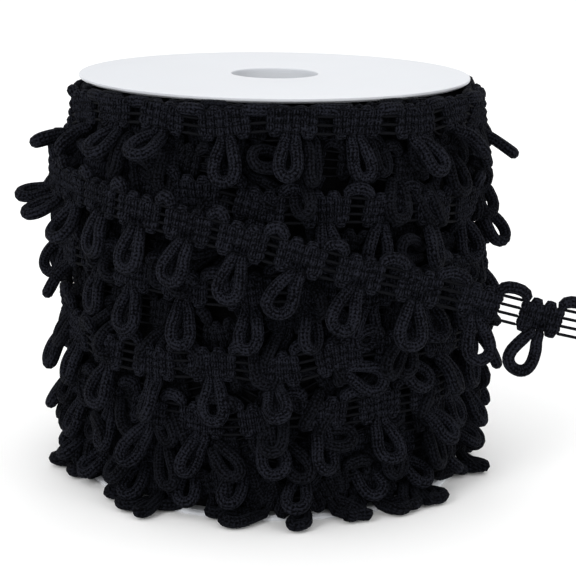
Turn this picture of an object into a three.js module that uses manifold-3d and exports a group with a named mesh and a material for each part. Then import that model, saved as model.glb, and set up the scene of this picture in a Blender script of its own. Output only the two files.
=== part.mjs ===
// Elastic button loop tape wound on a white spool, with one loose end.
// Millimetres, +Z up. The origin is on the spool's axis at the face it stands on, and -Y is the front.
import * as THREE from 'three';
import { mergeVertices } from 'three/addons/utils/BufferGeometryUtils.js';
import Module from 'manifold-3d';

const wasm = await Module();
wasm.setup();

// Driving dimensions
const SPOOL = { radius: 50, height: 103, flange: 1.2, bore: 11.1, wall: 2, segments: 60, boreSegments: 32 };
const SEAT = 0.3; // gap between pieces that touch
// The knitted tape: blocks of cord joined by thin elastic threads, an arch over each gap
const TAPE = { height: 8, thickness: 3, web: 1.2, arch: 2.1, blockShare: 0.74, cord: 3.6, sides: 3 };
// One button loop, as half widths at distances below the band: a teardrop closed by a round end
const LOOP = [
  { down: -2.2, half: 1.7 },
  { down: 2.1, half: 2.1 },
  { down: 5.9, half: 2.9 },
  { down: 9.1, half: 2.4 },
  { down: 10.2, half: 0 },
];
const LOOP_STEPS = 5;
const STEP_DEG = 16.3; // usual angle from one block to the next
const TOP_LIMIT = SPOOL.height - SPOOL.flange - SEAT; // nothing of the tape stands above this

// The tape's centre line: whole turns and degrees from the front, height, radius.
// The last turn runs along the top, sinks round the back and goes on into the loose end.
const LAST_TURN = [
  { turn: 0, deg: -165, z: 96.6, r: 54.6 },
  { turn: 0, deg: -40, z: 97.5, r: 54.6 },
  { turn: 0, deg: 0, z: 97.4, r: 54.6 },
  { turn: 0, deg: 50, z: 96.8, r: 54.6 },
  { turn: 0, deg: 120, z: 93.0, r: 54.6 },
  { turn: 0, deg: 180, z: 88.4, r: 54.6 },
  { turn: 0, deg: 225, z: 83.6, r: 54.7 },
  { turn: 0, deg: 271, z: 80.0, r: 55.8 },
];
// The turns below it, from the top down: their first stretch lies under the last turn
const WINDING = [
  { turn: 0, deg: 235, z: 86.6, r: 51.3 },
  { turn: 0, deg: 285, z: 84.0, r: 52.2 },
  { turn: 1, deg: -45, z: 82.0, r: 53.0 },
  { turn: 1, deg: -3, z: 79.0, r: 53.6 },
  { turn: 1, deg: 45, z: 75.5, r: 53.6 },
  { turn: 1, deg: 90, z: 73.4, r: 53.6 },
  { turn: 1, deg: 180, z: 68.8, r: 53.6 },
  { turn: 2, deg: -60, z: 61.0, r: 53.6 },
  { turn: 2, deg: -20, z: 58.6, r: 53.8 },
  { turn: 2, deg: 45, z: 57.8, r: 54.2 },
  { turn: 2, deg: 100, z: 56.0, r: 54.2 },
  { turn: 2, deg: 180, z: 50.0, r: 54.0 },
  { turn: 3, deg: -60, z: 40.3, r: 54.5 },
  { turn: 3, deg: -15, z: 39.4, r: 54.5 },
  { turn: 3, deg: 28, z: 42.8, r: 54.2 },
  { turn: 3, deg: 60, z: 42.0, r: 54.0 },
  { turn: 3, deg: 180, z: 34.6, r: 53.9 },
  { turn: 4, deg: -60, z: 26.2, r: 52.3 },
  { turn: 4, deg: -2, z: 26.4, r: 52.3 },
  { turn: 4, deg: 30, z: 28.8, r: 52.3 },
  { turn: 4, deg: 80, z: 27.4, r: 52.3 },
  { turn: 4, deg: 180, z: 21.4, r: 50.6 },
  { turn: 5, deg: -60, z: 14.6, r: 48.9 },
  { turn: 5, deg: -20, z: 16.4, r: 48.9 },
  { turn: 5, deg: 60, z: 16.2, r: 48.9 },
  { turn: 5, deg: 125, z: 14.8, r: 48.9 },
];
// Each outer turn: one block's place at the front, and how its loops leave and hang, in degrees outward
const TURN_NAMES = ['turn_a', 'turn_b', 'turn_c', 'turn_d', 'turn_e', 'turn_f'];
const TURNS = [
  { anchor: -12, root: 62, hang: 4, spread: 10 },
  { anchor: 13, root: 62, hang: 5, spread: 9 },
  { anchor: -6, root: 70, hang: 4, spread: 12 },
  { anchor: 1, root: 62, hang: 4, spread: 12 },
  { anchor: -2, root: 44, hang: 18, spread: 6 },
  { anchor: -8, root: 66, hang: 38, spread: 8 },
];
// The loose end: degrees from the front, run along the tangent there, height and radius of its centre line
const LOOSE = [
  { deg: -94, run: 0, z: 80.1, r: 55.7 },
  { deg: -78, run: 0, z: 79.6, r: 56.9 },
  { deg: -60, run: 0, z: 79.2, r: 58.6 },
  { deg: -45, run: 0, z: 78.7, r: 60.0 },
  { deg: -33, run: 0, z: 77.4, r: 61.4 },
  { deg: -10, run: 0, z: 72.9, r: 61.9 },
  { deg: 5, run: 0, z: 68.6, r: 61.6 },
  { deg: 16, run: 0, z: 65.0, r: 61.4 },
  { deg: 16, run: 24, z: 58.2, r: 61.4 },
  { deg: 16, run: 48, z: 51.2, r: 61.4 },
  { deg: 16, run: 66, z: 46.4, r: 61.4 },
];
// The arches of the loose end lie at first + pitch k + stretch k squared along it, as it is pulled taut
const LOOSE_ARCHES = {
  firstDeg: -24.4,
  before: 5,
  after: 7,
  pitch: 12.6,
  slackPitch: 12.9,
  stretch: 0.31,
  cut: 4.5,
};
// Stretches whose loops hang otherwise: swung out over the loose end, or pressed flat under it
const STRETCHES = [
  { turn: 0, from: -165, to: -28, root: 80, hang: 58 },
  { turn: 1, from: -125, to: -20, root: 10, hang: 0 },
];
// Loops that swing out as far as the widest ones do, to this radius: the nearest loop to each place is used
const REACH = 63;
const STRAYS = [
  { turn: 0, deg: 90, reach: REACH },
  { turn: 3, deg: -1, reach: REACH },
  { turn: 2, deg: 180, reach: REACH },
];
// The inner turns: a bulging roll, drawn in a little behind each outer turn
const ROLL = { radius: 51.4, behind: 2.2, ridge: 1, rim: 7, rimRadius: 48.2, slices: 36, rows: 16 };
const ROLL_MARGIN = { below: 13, above: 9 }; // how far below and above a turn's band it stays drawn in

const DEG = Math.PI / 180;

// A repeatable number from -1 to 1 for each loop and use
function jitter(index, use) {
  const wave = Math.sin(index * 12.9898 + use * 78.233) * 437.58;
  return 2 * (wave - Math.floor(wave)) - 1;
}

// Smooth value of one column of a table at place t, through every row
function column(table, places, key, t) {
  let i = 0;
  while (i < table.length - 2 && t > places[i + 1]) i += 1;
  const slope = (j) => {
    const a = Math.max(j - 1, 0);
    const b = Math.min(j + 1, table.length - 1);
    return (table[b][key] - table[a][key]) / (places[b] - places[a]);
  };
  const width = places[i + 1] - places[i];
  const s = Math.min(Math.max((t - places[i]) / width, 0), 1);
  const s2 = s * s;
  const s3 = s2 * s;
  return (
    (2 * s3 - 3 * s2 + 1) * table[i][key] +
    (s3 - 2 * s2 + s) * width * slope(i) +
    (3 * s2 - 2 * s3) * table[i + 1][key] +
    (s3 - s2) * width * slope(i + 1)
  );
}

// A frame from a point function: origin, forward along the tape, outward and up across it
function frameOf(point, outward, t, small) {
  const origin = point(t);
  const along = point(t + small).sub(point(t - small)).normalize();
  const out = outward(t);
  const up = new THREE.Vector3().crossVectors(out, along).normalize();
  out.crossVectors(along, up).normalize();
  return { origin, along, out, up };
}

// A wound stretch of tape: its height, radius, point and frame at any place, in degrees
function coil(table) {
  const places = table.map((row) => row.turn * 360 + row.deg);
  const z = (t) => column(table, places, 'z', t);
  const r = (t) => column(table, places, 'r', t);
  const point = (t) => new THREE.Vector3(r(t) * Math.sin(t * DEG), -r(t) * Math.cos(t * DEG), z(t));
  const outward = (t) => new THREE.Vector3(Math.sin(t * DEG), -Math.cos(t * DEG), 0);
  const frame = (t) => frameOf(point, outward, t, 0.2);
  return { z, r, frame, first: places[0], last: places[places.length - 1] };
}

const lastTurn = coil(LAST_TURN);
const winding = coil(WINDING);

// The loose end as a curve of real length
const loosePoints = LOOSE.map(({ deg, run, z, r }) => {
  const [s, c] = [Math.sin(deg * DEG), Math.cos(deg * DEG)];
  return new THREE.Vector3(r * s + run * c, -r * c + run * s, z);
});
const looseCurve = new THREE.CatmullRomCurve3(loosePoints, false, 'centripetal');
looseCurve.arcLengthDivisions = 600;
const looseLength = looseCurve.getLength();

function looseFrame(d) {
  const u = Math.min(Math.max(d / looseLength, 0), 1);
  const origin = looseCurve.getPointAt(u);
  const along = looseCurve.getTangentAt(u);
  const out = new THREE.Vector3(along.y, -along.x, 0).normalize();
  const up = new THREE.Vector3().crossVectors(out, along).normalize();
  return { origin, along, out, up };
}

function place(frame, along, out, up) {
  return frame.origin
    .clone()
    .addScaledVector(frame.along, along)
    .addScaledVector(frame.out, out)
    .addScaledVector(frame.up, up);
}

// A closed solid through a row of four-sided sections
function loft(sections) {
  const corners = sections[0].length;
  const positions = sections.flat().flatMap((p) => [p.x, p.y, p.z]);
  const index = [];
  for (let i = 0; i + 1 < sections.length; i += 1) {
    for (let j = 0; j < corners; j += 1) {
      const a = i * corners + j;
      const b = i * corners + ((j + 1) % corners);
      index.push(a, b, b + corners, a, b + corners, a + corners);
    }
  }
  const last = (sections.length - 1) * corners;
  for (let j = 1; j + 1 < corners; j += 1) {
    index.push(0, j + 1, j);
    index.push(last, last + j, last + j + 1);
  }
  const geometry = new THREE.BufferGeometry();
  geometry.setAttribute('position', new THREE.Float32BufferAttribute(positions, 3));
  geometry.setIndex(index);
  return geometry;
}

// Joining solids
function toSolid(geometry) {
  const bare = geometry.clone();
  bare.deleteAttribute('normal');
  bare.deleteAttribute('uv');
  const merged = mergeVertices(bare, 1e-4);
  return new wasm.Manifold(
    new wasm.Mesh({
      numProp: 3,
      vertProperties: new Float32Array(merged.attributes.position.array),
      triVerts: new Uint32Array(merged.index.array),
    }),
  );
}

function toGeometry(solid) {
  const { vertProperties, triVerts } = solid.getMesh();
  const geometry = new THREE.BufferGeometry();
  geometry.setAttribute('position', new THREE.BufferAttribute(new Float32Array(vertProperties), 3));
  geometry.setIndex(new THREE.BufferAttribute(new Uint32Array(triVerts), 1));
  return geometry;
}

// One section of the band: lower edge, upper edge and thickness at a frame
function bandSection(frame, thickness, rise) {
  const low = -TAPE.height / 2;
  const high = Math.min(TAPE.height / 2 + rise, TOP_LIMIT - frame.origin.z);
  const half = thickness / 2;
  return [
    place(frame, 0, half, low),
    place(frame, 0, -half, low),
    place(frame, 0, -half, high),
    place(frame, 0, half, high),
  ];
}

// The band through its blocks: thick blocks, thin gaps, and the arch as the gap's raised top
function bandGeometry(frameAt, blocks) {
  const sections = [];
  blocks.forEach(({ start, end }, i) => {
    if (i > 0) {
      const gap = start - blocks[i - 1].end;
      sections.push(bandSection(frameAt(blocks[i - 1].end + gap / 2), TAPE.web, TAPE.arch));
    }
    sections.push(bandSection(frameAt(start), TAPE.thickness, 0));
    sections.push(bandSection(frameAt(end), TAPE.thickness, 0));
  });
  return loft(sections);
}

// How far a loop has swung out and dropped at a distance below the band
function hangAt(distance, root, hang) {
  if (distance <= 0) return { out: 0, drop: distance };
  const steps = 12;
  const fade = 3.6; // millimetres over which the root's angle gives way to the hanging one
  let out = 0;
  let drop = 0;
  for (let i = 0; i < steps; i += 1) {
    const s = ((i + 0.5) / steps) * distance;
    const angle = (hang + (root - hang) * Math.exp(-s / fade)) * DEG;
    out += (Math.sin(angle) * distance) / steps;
    drop += (Math.cos(angle) * distance) / steps;
  }
  return { out, drop };
}

// A button loop: both ends in the block, the round end swung out and leaning along the tape
function loopGeometry(frame, { root, hang, lean, shift, stretch }) {
  const half = LOOP.map(({ down, half: side }) => ({ along: -side, down }));
  const other = half.slice(0, -1).reverse().map(({ along, down }) => ({ along: -along, down }));
  const [s, c] = [Math.sin(lean * DEG), Math.cos(lean * DEG)];
  const points = [...half, ...other].map(({ along, down }) => {
    const leaned = down > 0 ? { a: along * c + down * s, d: down * c - along * s } : { a: along, d: down };
    const { out, drop } = hangAt(leaned.d, root, hang);
    return place(frame, shift + leaned.a, out * stretch, -TAPE.height / 2 - drop);
  });
  const section = new THREE.Shape();
  for (let i = 0; i < TAPE.sides; i += 1) {
    const a = (i / TAPE.sides) * 2 * Math.PI + Math.PI;
    const [x, y] = [(Math.cos(a) * TAPE.cord) / 2, (Math.sin(a) * TAPE.cord) / 2];
    if (i === 0) section.moveTo(x, y);
    else section.lineTo(x, y);
  }
  section.closePath();
  const path = new THREE.CatmullRomCurve3(points, false, 'centripetal');
  return new THREE.ExtrudeGeometry(section, { steps: LOOP_STEPS, extrudePath: path, bevelEnabled: false });
}

function tapeGeometry(frameAt, blocks) {
  const pieces = [toSolid(bandGeometry(frameAt, blocks))];
  for (const block of blocks) {
    if (block.loop) pieces.push(toSolid(loopGeometry(frameAt(block.middle), block.loop)));
  }
  return toGeometry(wasm.Manifold.union(pieces));
}

// The blocks of a coil, evenly spaced between the anchors that lie on it
function coilBlocks({ first, last }, anchors, firstIndex) {
  const middles = [];
  for (let t = anchors[0] - STEP_DEG; t > first + STEP_DEG / 2; t -= STEP_DEG) middles.unshift(t);
  anchors.slice(0, -1).forEach((from, i) => {
    const count = Math.round((anchors[i + 1] - from) / STEP_DEG);
    for (let k = 0; k < count; k += 1) middles.push(from + ((anchors[i + 1] - from) * k) / count);
  });
  for (let t = anchors[anchors.length - 1]; t < last - STEP_DEG / 4; t += STEP_DEG) middles.push(t);
  return middles.map((middle, i) => {
    const step = ((middles[i + 1] ?? middle + STEP_DEG) - (middles[i - 1] ?? middle - STEP_DEG)) / 2;
    const half = (TAPE.blockShare * step) / 2;
    return { index: firstIndex + i, middle, start: middle - half, end: middle + half };
  });
}

function loopHang(coilOf, turn, middle, index) {
  const place = middle - turn * 360;
  const stretch = STRETCHES.find((row) => row.turn === turn && place > row.from && place < row.to);
  const { root, hang } = stretch ?? TURNS[turn];
  const spread = stretch ? 0 : TURNS[turn].spread;
  const loop = {
    root,
    hang: hang + spread * Math.abs(jitter(index, 1)),
    lean: 9 * jitter(index, 2),
    shift: 0.5 * jitter(index, 3),
  };
  const farther = Math.max(Math.abs(Math.sin(middle * DEG)), Math.abs(Math.cos(middle * DEG)));
  return { ...loop, stretch: Math.min(1, stretchTo(REACH / farther, coilOf, middle, loop)) };
}

// The share of its swing that takes a loop to a reach
function stretchTo(reach, coilOf, middle, { root, hang }) {
  const { out } = hangAt(LOOP[LOOP.length - 1].down, root, hang);
  return (reach - TAPE.cord / 4 - coilOf.r(middle)) / out;
}

// Gives the stray loops the swing that takes them to their reach
function addStrays(coilOf, blocks) {
  for (const { turn, deg, reach } of STRAYS) {
    const wanted = turn * 360 + deg;
    const away = ({ middle }) => Math.abs(middle - wanted);
    const nearest = blocks.reduce((a, b) => (away(b) < away(a) ? b : a));
    if (away(nearest) > STEP_DEG) continue;
    const loop = { ...nearest.loop, hang: 46, lean: wanted - nearest.middle };
    nearest.loop = { ...loop, stretch: stretchTo(reach, coilOf, nearest.middle, loop) };
  }
}

// Adds turns of one coil, each a node: first is the number of the first of them
function addTurns(group, material, coilOf, first, names) {
  const anchors = names.map((name, i) => (first + i) * 360 + TURNS[first + i].anchor);
  const blocks = coilBlocks(coilOf, anchors, first * 40);
  const turnOf = (t) => Math.min(Math.max(Math.round(t / 360), first), first + names.length - 1);
  for (const block of blocks) block.loop = loopHang(coilOf, turnOf(block.middle), block.middle, block.index);
  addStrays(coilOf, blocks);
  names.forEach((name, i) => {
    const own = blocks.filter(({ middle }) => turnOf(middle) === first + i);
    group.add(meshOf(name, tapeGeometry(coilOf.frame, own), material));
  });
}

function looseBlocks() {
  const { firstDeg, before, after, pitch, slackPitch, stretch, cut } = LOOSE_ARCHES;
  let first = 0;
  const target = firstDeg * DEG;
  for (let d = 0; d < looseLength; d += 0.1) {
    const p = looseCurve.getPointAt(d / looseLength);
    if (Math.atan2(p.x, -p.y) < target) first = d;
  }
  const archAt = (k) => first + (k < 0 ? slackPitch * k : pitch * k + stretch * k * k);
  const blocks = [];
  for (let k = -before; k < after; k += 1) {
    const middle = (archAt(k) + archAt(k + 1)) / 2;
    const half = (TAPE.blockShare * slackPitch) / 2 + 0.6;
    const loop = {
      root: 14,
      hang: (k < -2 ? 20 - 17 * (k + 2) : 6) + 6 * jitter(k, 1),
      lean: 8 * jitter(k, 2),
      shift: 0.5 * jitter(k, 3),
      stretch: 1,
    };
    blocks.push({ middle, start: middle - half, end: middle + half, loop });
  }
  const start = 2 * archAt(after) - blocks[blocks.length - 1].end;
  blocks.push({ middle: start + cut / 2, start, end: start + cut });
  return blocks;
}

// The spool: two flanges with the spindle hole and the tube between them
function ringGeometry(inner, outer, low, high, segments) {
  const profile = [
    [inner, low],
    [outer, low],
    [outer, high],
    [inner, high],
    [inner, low],
  ];
  const geometry = new THREE.LatheGeometry(profile.map(([r, z]) => new THREE.Vector2(r, z)), segments);
  return geometry.rotateX(Math.PI / 2);
}

function addSpool(group, material) {
  const { radius, height, flange, bore, wall, segments, boreSegments } = SPOOL;
  group.add(meshOf('spool_bottom_flange', ringGeometry(bore, radius, 0, flange, segments), material));
  const top = ringGeometry(bore, radius, height - flange, height, segments);
  group.add(meshOf('spool_top_flange', top, material));
  const core = ringGeometry(bore, bore + wall, flange + SEAT, height - flange - SEAT, boreSegments);
  group.add(meshOf('spool_core', core, material));
}

// The inner turns as one ring: it lies behind each outer turn and bulges between them
function rollRadius(deg, z) {
  const { radius, ridge, behind, rim, rimRadius } = ROLL;
  let surface = z < rim || z > SPOOL.height - rim ? rimRadius : radius;
  for (const coilOf of [lastTurn, winding]) {
    for (let t = deg - 360; t < coilOf.last + STEP_DEG; t += 360) {
      if (t < coilOf.first - STEP_DEG) continue;
      const above = z - coilOf.z(t);
      if (above > -TAPE.height / 2 - ROLL_MARGIN.below && above < TAPE.height / 2 + ROLL_MARGIN.above) {
        surface = Math.min(surface, coilOf.r(t) - behind);
      }
      if (Math.abs(above) < TAPE.height / 2) surface = Math.min(surface, radius - ridge);
    }
  }
  return surface;
}

function addRoll(group, material) {
  const { slices, rows } = ROLL;
  const inner = SPOOL.bore + SPOOL.wall + SEAT;
  const low = SPOOL.flange + SEAT;
  const high = SPOOL.height - SPOOL.flange - SEAT;
  const sections = [];
  for (let i = 0; i < slices; i += 1) {
    const deg = (i / slices) * 360 - 180;
    const at = (r, z) => new THREE.Vector3(r * Math.sin(deg * DEG), -r * Math.cos(deg * DEG), z);
    const section = [at(inner, high), at(inner, low)];
    for (let k = 0; k <= rows; k += 1) {
      const z = low + ((high - low) * k) / rows;
      section.push(at(rollRadius(deg, z), z));
    }
    sections.push(section);
  }
  const corners = sections[0].length;
  const index = [];
  for (let i = 0; i < slices; i += 1) {
    const next = ((i + 1) % slices) * corners;
    for (let j = 0; j < corners; j += 1) {
      const [a, b] = [i * corners + j, i * corners + ((j + 1) % corners)];
      const [c, d] = [next + ((j + 1) % corners), next + j];
      index.push(a, c, b, a, d, c);
    }
  }
  const geometry = new THREE.BufferGeometry();
  const positions = sections.flat().flatMap((p) => [p.x, p.y, p.z]);
  geometry.setAttribute('position', new THREE.Float32BufferAttribute(positions, 3));
  geometry.setIndex(index);
  group.add(meshOf('wound_roll', geometry, material));
}

function meshOf(name, geometry, material) {
  const mesh = new THREE.Mesh(geometry, material);
  mesh.name = name;
  return mesh;
}

const plastic = () => new THREE.MeshStandardMaterial({ color: 0xf0f1f2, roughness: 0.42, metalness: 0 });
const yarn = () => new THREE.MeshStandardMaterial({ color: 0x0b0b0d, roughness: 0.92, metalness: 0 });

const part = new THREE.Group();
addSpool(part, plastic());
addRoll(part, yarn());
addTurns(part, yarn(), lastTurn, 0, TURN_NAMES.slice(0, 1));
addTurns(part, yarn(), winding, 1, TURN_NAMES.slice(1));
part.add(meshOf('loose_tape_end', tapeGeometry(looseFrame, looseBlocks()), yarn()));

export default part;
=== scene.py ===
import math

import bpy
import numpy as np
from mathutils import Matrix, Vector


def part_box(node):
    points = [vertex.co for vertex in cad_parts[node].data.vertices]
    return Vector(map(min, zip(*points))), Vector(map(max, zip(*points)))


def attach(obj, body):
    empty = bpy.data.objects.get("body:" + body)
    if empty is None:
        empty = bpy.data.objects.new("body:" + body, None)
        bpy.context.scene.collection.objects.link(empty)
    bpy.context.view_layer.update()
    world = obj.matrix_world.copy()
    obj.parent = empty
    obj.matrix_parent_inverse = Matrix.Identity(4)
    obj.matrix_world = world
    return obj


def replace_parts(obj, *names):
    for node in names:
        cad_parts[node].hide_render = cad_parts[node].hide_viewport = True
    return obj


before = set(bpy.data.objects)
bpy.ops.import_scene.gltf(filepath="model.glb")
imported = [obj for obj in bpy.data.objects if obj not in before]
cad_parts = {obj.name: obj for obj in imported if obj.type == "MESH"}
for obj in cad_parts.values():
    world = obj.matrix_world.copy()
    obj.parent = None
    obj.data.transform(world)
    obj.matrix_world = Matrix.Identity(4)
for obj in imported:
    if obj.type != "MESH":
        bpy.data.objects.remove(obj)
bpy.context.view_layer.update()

# Black knitted tape with button loops, wound on a white plastic spool, one end loose.
# Sizes are millimetres until a mesh is made. +Z is up, -Y the front, and angles count from the front to +X.
MM = 0.001


def table(columns, rows):
    """A table as one array for each named column."""
    return {name: np.array(values, float) for name, values in zip(columns.split(), zip(*rows))}


# Sizes of the spool, from the frame
top_low, top_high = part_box("spool_top_flange")
SPOOL_HEIGHT = top_high.z / MM
SPOOL_RADIUS = top_high.x / MM
FLANGE = (top_high.z - top_low.z) / MM
CORE_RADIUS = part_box("spool_core")[1].x / MM
CORE_WALL = 2.0
BORE = CORE_RADIUS - CORE_WALL
LIP = 0.4  # round of the flange's edge at the spindle hole
SEAM = 0.02  # and of the edges where flange and tube meet, which is also how far the tube runs into a flange
RIM = 0.65  # height of the flange's rim
RIM_SLOPE = 0.8  # how far its inner face stops short of the rim
RIM_ROUND = 0.2

# Centre line of the last turn, which goes on into the loose end. It follows the outline of the top row more
# closely than its solid does.
LAST_TURN = table(
    "turn deg z r",
    [
        (0, -165, 95.0, 54.2),
        (0, -125, 91.9, 51.3),
        (0, -90, 91.4, 50.4),
        (0, -64, 97.0, 52.7),
        (0, -40, 98.6, 54.2),
        (0, 0, 98.5, 54.6),
        (0, 50, 98.0, 54.4),
        (0, 70, 96.6, 53.6),
        (0, 90, 93.8, 52.4),
        (0, 120, 93.0, 54.6),
        (0, 180, 88.4, 54.6),
        (0, 225, 83.6, 54.7),
        (0, 271, 80.0, 55.8),
    ],
)
# Centre lines of the turns below it, from the top down, and of the loose end, both as in the solids
WINDING = table(
    "turn deg z r",
    [
        (0, 235, 86.6, 51.3),
        (0, 285, 84.0, 52.2),
        (1, -45, 82.0, 53.0),
        (1, -3, 79.0, 53.6),
        (1, 45, 75.5, 53.6),
        (1, 90, 73.4, 53.6),
        (1, 180, 68.8, 53.6),
        (2, -60, 61.0, 53.6),
        (2, -20, 58.6, 53.8),
        (2, 45, 57.8, 54.2),
        (2, 100, 56.0, 54.2),
        (2, 180, 50.0, 54.0),
        (3, -60, 40.3, 54.5),
        (3, -15, 39.4, 54.5),
        (3, 28, 42.8, 54.2),
        (3, 60, 42.0, 54.0),
        (3, 180, 34.6, 53.9),
        (4, -60, 26.2, 52.3),
        (4, -2, 26.4, 52.3),
        (4, 30, 28.8, 52.3),
        (4, 80, 27.4, 52.3),
        (4, 180, 21.4, 50.6),
        (5, -60, 14.6, 48.9),
        (5, -20, 16.4, 48.9),
        (5, 60, 16.2, 48.9),
        (5, 125, 14.8, 48.9),
    ],
)
LOOSE = table(
    "deg run z r",
    [
        (-94, 0, 80.1, 55.7),
        (-78, 0, 79.6, 56.9),
        (-60, 0, 79.2, 58.6),
        (-45, 0, 78.7, 60.0),
        (-33, 0, 77.4, 61.4),
        (-10, 0, 72.9, 61.9),
        (5, 0, 68.6, 61.6),
        (16, 0, 65.0, 61.4),
        (16, 24, 58.2, 61.4),
        (16, 48, 51.2, 61.4),
        (16, 66, 46.4, 61.4),
    ],
)
# Each outer turn: one block's place at the front, and how its loops leave the band and hang, in degrees
# outward
TURNS = table(
    "anchor root hang spread",
    [
        (-12, 62, 4, 10),
        (13, 62, 5, 9),
        (-6, 70, 4, 12),
        (1, 62, 4, 12),
        (-2, 44, 18, 6),
        (-8, 66, 38, 8),
    ],
)
TURN_NAMES = ["turn_a", "turn_b", "turn_c", "turn_d", "turn_e", "turn_f"]
STEP_DEG = 16.3  # from one block to the next on the roll
BLOCK_SHARE = 0.785  # share of each repeat that the block takes
# The loose end: its first counted arch lies at this many degrees, with so many blocks before it and after it
LOOSE_FIRST_DEG = -24.4
LOOSE_BEFORE = 5
LOOSE_AFTER = 7
LOOSE_PITCH = 12.6  # from arch to arch at the first counted arch
LOOSE_SLACK_PITCH = 12.9  # and on the stretch before it
LOOSE_STRETCH = 0.33  # how the arches draw apart towards the end
LOOSE_BLOCK_HALF = 5.37
LOOSE_CUT = 4.5  # from the last gap's far side to the cut
LOOSE_SIDES = 10  # sides of its cord
LOOSE_END_GROWS = 0.5  # the last whole block is this much wider to each side
LOOSE_RELAXED = 0.55  # and so are those that cross the front, where the tape is hardly stretched
# Loops of the loose end seen against the light: block, lean and width
LOOSE_LEANS = [(4, 8, 1.12), (5, 21, 1.16), (6, -18, 1.25)]
# Stretches whose loops hang otherwise: swung out over the loose end, or pressed flat under it
STRETCHES = table("turn first last root hang", [(0, -165, -28, 80, 58), (1, -125, -20, 10, 0)])
REACH = 63.0  # how far the loops stand out from the axis to each side, at most
REACH_SPARE = 0.9  # what the loop's own cord takes of that
SWING_TO = 11.6  # distance past the bend where a loop's reach is worked out
# Loops that reach all the way, to the right, the front and the back: turn and degrees from the front
STRAYS = [(0, 90), (3, -1), (2, 180)]
STRAY_HANG = 46
# Loops that lean along the tape: turn, degrees from the front, degrees of lean
LEANS = table(
    "turn deg lean",
    [
        (0, -60, -12),
        (0, 20, 12),
        (0, 37, 30),
        (0, 54, 34),
        (0, 70, 30),
        (3, 16, 54),
        (3, 35, 46),
        (3, 56, 24),
        (4, -22, -14),
        (4, 46, 28),
        (4, 64, 34),
        (5, 25, 24),
        (5, 40, 36),
        (5, 57, 38),
        (5, 74, 38),
    ],
)

# Numbers added to a block's index, so that each set of loops strays in its own way
WINDING_INDEX = 40
INNER_INDEX = 500
PACKED_INDEX = 900
UNDER_TOP = 13  # blocks of the second layer that fill the place between the top row and the flange

# The knitting, laid flat: a along the tape, v up across it, w out of it
PASS = 1.84  # from one upright pass of the cord to the next
PASSES = 6
TIER = 2.0  # from one stitch line to the next
STITCH_LINES = 4
CORD = 2.35
LOOP_CORD = 3.0
GROOVE = 0.4  # share of the cord's thickness that a stitch line draws in
GROOVE_POWER = 2.5  # how narrow the drawn-in place is
BULGE = 0.32  # how far the cord stands out between two stitch lines
ARCH_OUT = 0.15  # how far the arch and the gap stand out
TURN_RISE = 0.3  # how far a pass goes past the outer stitch line before it turns back
ARCH_RISE = 2.4
ARCH_CORD = 3.0
THREAD = 0.8
BURIED = 0.5  # share of a thread's thickness that shows where it is stitched into a block
CREST = CORD / 2 * (1 - GROOVE) - THREAD * 0.15  # height of a thread where it rides over a pass
BLOCK_HALF = (PASSES - 1) * PASS / 2 + CORD / 2
PITCH = 2 * BLOCK_HALF / BLOCK_SHARE
LINE_HALF = (STITCH_LINES - 1) * TIER / 2
# One side of a button loop: half width at distances below the lowest stitch line
LOOP = table(
    "half down",
    [
        (PASS / 2, 0),
        (1.15, 1.6),
        (1.55, 3.4),
        (2.1, 5.4),
        (2.5, 7.4),
        (2.45, 9.0),
        (1.9, 10.2),
        (0.98, 10.85),
        (0, 11.05),
    ],
)
BEND_FROM = 1.0  # distance below the lowest stitch line where a loop starts to leave the band's plane
BEND_OVER = 2.4  # distance over which it bends
FADE = 3.6  # and over which the angle at its root gives way to the angle it hangs at
SWELL_OVER = 4  # distance over which the cord thickens to the loop's
LEAN_OVER = 3  # over which the loop takes on its lean
SETTLED_OVER = 5  # and over which it takes on its own width, twist and shift
LOWEST = 0.5  # nothing of the tape lies lower
HIGHEST = SPOOL_HEIGHT - 0.4  # and nothing higher
EASE = 1.8  # how gently the tape is pressed down as it nears that height
WOBBLE = 0.55  # how far the blocks stray up and down


def jitter(index, use):
    """A repeatable number from -1 to 1 for each index and use."""
    wave = np.sin(np.asarray(index, float) * 12.9898 + use * 78.233) * 437.58
    return 2 * (wave - np.floor(wave)) - 1


def smooth_step(x):
    """A smooth rise from 0 to 1 while x goes from 0 to 1."""
    x = np.clip(x, 0, 1)
    return x * x * (3 - 2 * x)


def unit(v):
    return v / np.linalg.norm(v, axis=-1, keepdims=True)


# Routes: each takes places along the tape and gives origin, along, out and up there
def smooth_column(places, values, t):
    """A smooth curve through a column of a table, at places t."""
    i = np.clip(np.searchsorted(places[1:], t, side="left"), 0, len(places) - 2)
    before = np.maximum(np.arange(len(places)) - 1, 0)
    after = np.minimum(np.arange(len(places)) + 1, len(places) - 1)
    slope = (values[after] - values[before]) / (places[after] - places[before])
    width = places[i + 1] - places[i]
    s = np.clip((t - places[i]) / width, 0, 1)
    start = (2 * s**3 - 3 * s**2 + 1) * values[i] + (s**3 - 2 * s**2 + s) * width * slope[i]
    end = (3 * s**2 - 2 * s**3) * values[i + 1] + (s**3 - s**2) * width * slope[i + 1]
    return start + end


def around(t, r, z):
    a = np.radians(t)
    return np.stack([r * np.sin(a), -r * np.cos(a), z], -1)


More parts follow.
